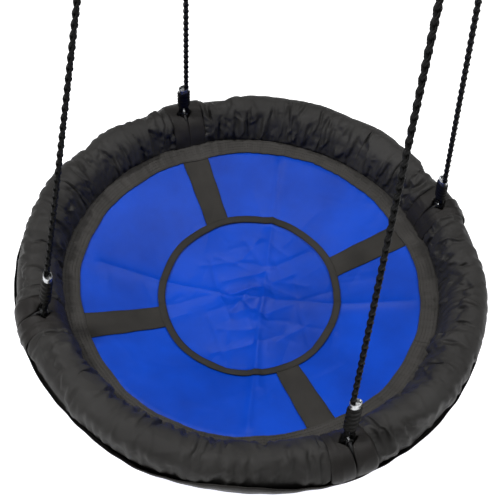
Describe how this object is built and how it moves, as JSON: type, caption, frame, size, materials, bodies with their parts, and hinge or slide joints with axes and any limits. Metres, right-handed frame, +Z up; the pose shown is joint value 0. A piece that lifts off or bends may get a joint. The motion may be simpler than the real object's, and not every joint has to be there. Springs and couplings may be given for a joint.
{
  "type": "saucer nest swing",
  "caption": "Round padded-rim nest swing with a sewn cloth deck, hung on four ropes that meet in pairs at two rings and snap hooks.",
  "frame": {"origin": "midway between the two points where the snap hooks bear on what they hang from", "axes": "+X along the beam through both hooks, +Y to the back, +Z up"},
  "size_m": [1.016, 1.016, 1.6518],
  "materials": {
    "galvanised_steel": "galvanised",
    "zinc_screw": "zinc plated",
    "grey_foam": "closed-cell foam",
    "black_oxford_cloth": "coated woven cloth",
    "black_hem_cloth": "folded and stitched woven cloth",
    "blue_woven_cloth": "coated woven cloth",
    "black_webbing": "flat woven webbing",
    "black_braided_rope": "braided",
    "zinc_thimble": "zinc plated",
    "black_ferrule": "ribbed sleeve on a metal ferrule",
    "welded_ring": "black coated",
    "zinc_hook": "zinc plated"
  },
  "bodies": {
    "hangers": {"carabiner_left": "zinc_hook", "carabiner_right": "zinc_hook", "gate_pins": "zinc_hook"},
    "gate_left": {"gate_left": "zinc_hook"},
    "gate_right": {"gate_right": "zinc_hook"},
    "ring_left": {"hang_ring_left": "welded_ring"},
    "ring_right": {"hang_ring_right": "welded_ring"},
    "ropes_left": {"rope_back_left": "black_braided_rope", "lower_thimble_back_left": "zinc_thimble", "lower_clamp_back_left": "black_ferrule", "upper_thimble_back_left": "zinc_thimble", "upper_clamp_back_left": "black_ferrule", "rope_front_left": "black_braided_rope", "lower_thimble_front_left": "zinc_thimble", "lower_clamp_front_left": "black_ferrule", "upper_thimble_front_left": "zinc_thimble", "upper_clamp_front_left": "black_ferrule"},
    "ropes_right": {"rope_back_right": "black_braided_rope", "lower_thimble_back_right": "zinc_thimble", "lower_clamp_back_right": "black_ferrule", "upper_thimble_back_right": "zinc_thimble", "upper_clamp_back_right": "black_ferrule", "rope_front_right": "black_braided_rope", "lower_thimble_front_right": "zinc_thimble", "lower_clamp_front_right": "black_ferrule", "upper_thimble_front_right": "zinc_thimble", "upper_clamp_front_right": "black_ferrule"},
    "seat": {"frame_tube_1": "galvanised_steel", "frame_tube_2": "galvanised_steel", "frame_tube_3": "galvanised_steel", "frame_tube_4": "galvanised_steel", "frame_screws": "zinc_screw", "foam_sleeve_1": "grey_foam", "foam_sleeve_2": "grey_foam", "foam_sleeve_3": "grey_foam", "foam_sleeve_4": "grey_foam", "rim_cover_1": "black_oxford_cloth", "rim_cover_2": "black_oxford_cloth", "rim_cover_3": "black_oxford_cloth", "rim_cover_4": "black_oxford_cloth", "rim_base_band": "black_oxford_cloth", "hem_band": "black_hem_cloth", "centre_panel": "blue_woven_cloth", "centre_binding": "black_webbing", "seat_panel_1": "blue_woven_cloth", "seat_panel_2": "blue_woven_cloth", "seat_panel_3": "blue_woven_cloth", "seat_panel_4": "blue_woven_cloth", "hanger_wrap_back_right": "black_oxford_cloth", "hanger_wrap_back_left": "black_oxford_cloth", "hanger_wrap_front_left": "black_oxford_cloth", "hanger_wrap_front_right": "black_oxford_cloth", "spoke_strap_back_right": "black_webbing", "spoke_strap_back_left": "black_webbing", "spoke_strap_front_left": "black_webbing", "spoke_strap_front_right": "black_webbing", "frame_ring_back_right": "welded_ring", "frame_ring_back_left": "welded_ring", "frame_ring_front_left": "welded_ring", "frame_ring_front_right": "welded_ring"}
  },
  "joints": [
    {"name": "swing", "type": "hinge", "parent": "hangers", "child": "ring_left", "pos_m": [-0.189, 0, -0.069], "axis": [1, 0, 0], "range_deg": [-45, 45]},
    {"name": "sway", "type": "hinge", "parent": "ring_left", "child": "ropes_left", "pos_m": [-0.189, 0, -0.11423], "axis": [0, 1, 0], "range_deg": [-8, 8]},
    {"name": "seat_roll", "type": "hinge", "parent": "ropes_left", "child": "seat", "pos_m": [-0.32291, 0, -1.48444], "axis": [0, 1, 0], "range_deg": [-5, 5]},
    {"name": "ropes_right_roll", "type": "hinge", "parent": "seat", "child": "ropes_right", "pos_m": [0.32291, 0, -1.48444], "axis": [0, 1, 0], "range_deg": [-5, 5]},
    {"name": "ring_right_roll", "type": "hinge", "parent": "ropes_right", "child": "ring_right", "pos_m": [0.189, 0, -0.11423], "axis": [0, 1, 0], "range_deg": [-8.2, 8.2]},
    {"name": "gate_left_open", "type": "hinge", "parent": "hangers", "child": "gate_left", "pos_m": [-0.206, 0, -0.044], "axis": [0, 1, 0], "range_deg": [0, 25], "stiffness_Nm_per_rad": 0.05, "springref_deg": -17.19},
    {"name": "gate_right_open", "type": "hinge", "parent": "hangers", "child": "gate_right", "pos_m": [0.206, 0, -0.044], "axis": [0, -1, 0], "range_deg": [0, 25], "stiffness_Nm_per_rad": 0.05, "springref_deg": -17.19}
  ],
  "couplings": [
    {"joint": "seat_roll", "follows": "sway", "ratio": -0.58529},
    {"joint": "ropes_right_roll", "follows": "sway", "ratio": 0.58529},
    {"joint": "ring_right_roll", "follows": "sway", "ratio": -1}
  ]
}
